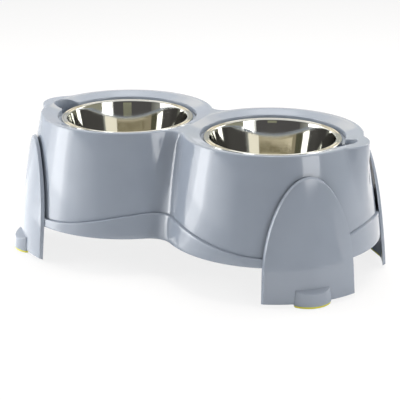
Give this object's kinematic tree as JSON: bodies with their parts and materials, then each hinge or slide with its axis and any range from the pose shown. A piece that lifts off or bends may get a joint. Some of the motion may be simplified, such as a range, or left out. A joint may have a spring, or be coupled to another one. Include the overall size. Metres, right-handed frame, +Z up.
{
  "type": "double pet bowl stand",
  "caption": "Raised stand for pets, a waisted plastic shell on arched legs with rubber pads, holding lift-out steel bowls side by side.",
  "frame": {"origin": "on the floor, midway between the two bowls' axes", "axes": "+X along the row of bowls, to the right as seen from the front; +Y to the back; +Z up"},
  "size_m": [0.6014, 0.3424, 0.218],
  "materials": {
    "body_plastic": "gloss moulded, pale blue-grey",
    "leg_plastic": "gloss moulded, pale blue-grey",
    "bowl_steel": "mirror polished stainless",
    "pad_rubber": "matt moulded, yellow-green"
  },
  "bodies": {
    "stand_body": {"stand_body": "body_plastic"},
    "left_bowl": {"left_bowl": "bowl_steel"},
    "right_bowl": {"right_bowl": "bowl_steel"},
    "front_left_leg": {"front_left_leg": "leg_plastic", "front_left_pad": "pad_rubber"},
    "front_right_leg": {"front_right_leg": "leg_plastic", "front_right_pad": "pad_rubber"},
    "rear_left_leg": {"rear_left_leg": "leg_plastic", "rear_left_pad": "pad_rubber"},
    "rear_right_leg": {"rear_right_leg": "leg_plastic", "rear_right_pad": "pad_rubber"}
  },
  "joints": [
    {"name": "left_bowl_lift", "type": "slide", "parent": "stand_body", "child": "left_bowl", "axis": [0, 0, 1], "range_m": [0, 0.1]},
    {"name": "right_bowl_lift", "type": "slide", "parent": "stand_body", "child": "right_bowl", "axis": [0, 0, 1], "range_m": [0, 0.1]},
    {"name": "front_left_leg_slide", "type": "slide", "parent": "stand_body", "child": "front_left_leg", "axis": [-0.1228, -0.1228, -0.9848], "range_m": [0, 0.052]},
    {"name": "front_right_leg_slide", "type": "slide", "parent": "stand_body", "child": "front_right_leg", "axis": [0.1228, -0.1228, -0.9848], "range_m": [0, 0.052]},
    {"name": "rear_left_leg_slide", "type": "slide", "parent": "stand_body", "child": "rear_left_leg", "axis": [-0.1228, 0.1228, -0.9848], "range_m": [0, 0.052]},
    {"name": "rear_right_leg_slide", "type": "slide", "parent": "stand_body", "child": "rear_right_leg", "axis": [0.1228, 0.1228, -0.9848], "range_m": [0, 0.052]}
  ]
}
